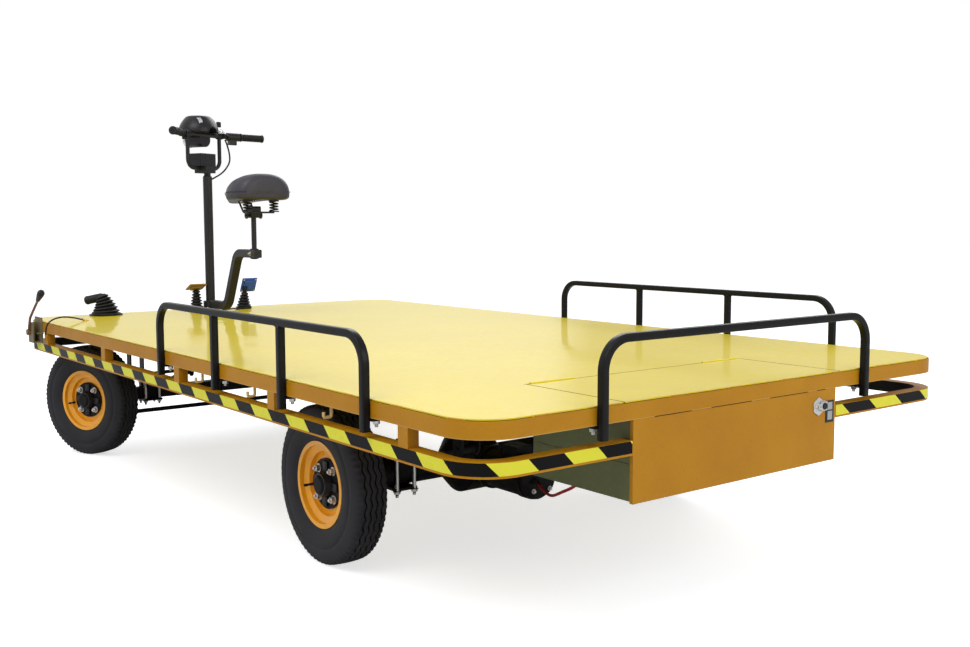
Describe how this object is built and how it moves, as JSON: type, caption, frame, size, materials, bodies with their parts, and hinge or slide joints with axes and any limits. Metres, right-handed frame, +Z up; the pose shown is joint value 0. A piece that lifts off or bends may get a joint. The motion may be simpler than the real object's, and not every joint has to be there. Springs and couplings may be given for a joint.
{
  "type": "electric platform cart",
  "caption": "Ride-on electric flatbed cart with a flat deck, bumper rail, guard rails, rear battery box, sprung saddle and handlebar steering.",
  "frame": {"origin": "on the floor below the middle of the whole cart", "axes": "+X forward, +Y to the rider's left, +Z up"},
  "size_m": [3.2987, 1.875, 1.478],
  "materials": {
    "deck_yellow": "glossy pale yellow paint",
    "frame_gold": "ochre-gold paint with hazard stripes on the bumper",
    "box_olive": "dark olive paint",
    "chassis_black": "satin black paint",
    "guard_black": "satin black paint",
    "rim_orange": "orange paint",
    "column_grey": "satin black paint",
    "steel": "plain steel",
    "tyre_rubber": "dark tyre rubber",
    "black_rubber": "matt rubber",
    "black_plastic": "matt plastic",
    "seat_vinyl": "dark blue-grey vinyl",
    "pedal_yellow": "worn yellow-brown paint",
    "battery_case": "plastic case",
    "red_cable": "red insulation",
    "zinc": "zinc plated"
  },
  "bodies": {
    "chassis": {"deck_plate": "deck_yellow", "hatch_hinge_left": "steel", "hatch_hinge_right": "steel", "deck_rim": "frame_gold", "chassis_frame": "chassis_black", "spring_hangers_left": "chassis_black", "spring_hangers_right": "chassis_black", "bumper_rail": "frame_gold", "guard_left": "guard_black", "guard_right": "guard_black", "guard_rear": "guard_black", "battery_box": "box_olive", "rear_panel": "frame_gold", "battery": "battery_case", "key_switch": "zinc", "rear_axle": "chassis_black", "drive_motor": "chassis_black", "front_axle": "chassis_black", "front_spring_left": "chassis_black", "front_spring_right": "chassis_black", "rear_spring_left": "chassis_black", "rear_spring_right": "chassis_black", "column_base": "column_grey", "seat_arm": "column_grey", "seat_post": "steel", "saddle_springs": "steel", "saddle": "seat_vinyl", "brake_pedal": "pedal_yellow", "accelerator_pedal": "black_rubber", "lever_bracket": "zinc", "brake_lever": "black_plastic", "lever_cable": "black_rubber", "lever_gaiter": "black_rubber", "battery_lead": "red_cable"},
    "hatch": {"deck_hatch": "deck_yellow"},
    "steering": {"steering_column": "column_grey", "handlebar": "column_grey", "grip_left": "black_rubber", "grip_right": "black_rubber", "controller_box": "black_plastic", "instrument_pod": "black_plastic", "column_cable": "black_rubber", "bar_controls": "black_plastic"},
    "knuckle_left": {"knuckle_left": "chassis_black"},
    "knuckle_right": {"knuckle_right": "chassis_black"},
    "tie_rod": {"tie_rod": "chassis_black"},
    "drag_link": {"drag_link": "chassis_black"},
    "wheel_front_left": {"tyre_front_left": "tyre_rubber", "wheel_rim_front_left": "rim_orange", "hub_front_left": "chassis_black"},
    "wheel_front_right": {"tyre_front_right": "tyre_rubber", "wheel_rim_front_right": "rim_orange", "hub_front_right": "chassis_black"},
    "wheel_rear_left": {"tyre_rear_left": "tyre_rubber", "wheel_rim_rear_left": "rim_orange", "hub_rear_left": "chassis_black"},
    "wheel_rear_right": {"tyre_rear_right": "tyre_rubber", "wheel_rim_rear_right": "rim_orange", "hub_rear_right": "chassis_black"}
  },
  "joints": [
    {"name": "steering", "type": "hinge", "parent": "chassis", "child": "steering", "pos_m": [1.4807, 0.0875, 0.6], "axis": [0, 0, 1], "range_deg": [-59, 11]},
    {"name": "kingpin_left", "type": "hinge", "parent": "chassis", "child": "knuckle_left", "pos_m": [1.3777, 0.6055, 0.233], "axis": [0, 0, 1], "range_deg": [-59, 11]},
    {"name": "kingpin_right", "type": "hinge", "parent": "chassis", "child": "knuckle_right", "pos_m": [1.3777, -0.6205, 0.233], "axis": [0, 0, 1], "range_deg": [-59, 11]},
    {"name": "tie_rod_pivot", "type": "hinge", "parent": "knuckle_left", "child": "tie_rod", "pos_m": [1.27721, 0.56076, 0.1687], "axis": [0, 0, 1], "range_deg": [-11, 59]},
    {"name": "drag_link_pivot", "type": "hinge", "parent": "steering", "child": "drag_link", "pos_m": [1.38021, 0.04276, 0.325], "axis": [0, 0, 1], "range_deg": [-11, 59]},
    {"name": "wheel_front_left_spin", "type": "hinge", "parent": "knuckle_left", "child": "wheel_front_left", "pos_m": [1.33337, 0.70508, 0.233], "axis": [-0.4067, 0.9135, 0], "continuous": true},
    {"name": "wheel_front_right_spin", "type": "hinge", "parent": "knuckle_right", "child": "wheel_front_right", "pos_m": [1.42203, -0.72008, 0.233], "axis": [-0.4067, 0.9135, 0], "continuous": true},
    {"name": "wheel_rear_left_spin", "type": "hinge", "parent": "chassis", "child": "wheel_rear_left", "pos_m": [-0.6293, 0.6595, 0.233], "axis": [0, 1, 0], "continuous": true},
    {"name": "wheel_rear_right_spin", "type": "hinge", "parent": "chassis", "child": "wheel_rear_right", "pos_m": [-0.6293, -0.6745, 0.233], "axis": [0, 1, 0], "continuous": true},
    {"name": "hatch_hinge", "type": "hinge", "parent": "chassis", "child": "hatch", "pos_m": [-1.2663, 0.0425, 0.577], "axis": [0, 1, 0], "range_deg": [0, 95]}
  ],
  "couplings": [
    {"joint": "kingpin_left", "follows": "steering", "ratio": 1},
    {"joint": "kingpin_right", "follows": "steering", "ratio": 1},
    {"joint": "tie_rod_pivot", "follows": "steering", "ratio": -1},
    {"joint": "drag_link_pivot", "follows": "steering", "ratio": -1}
  ]
}
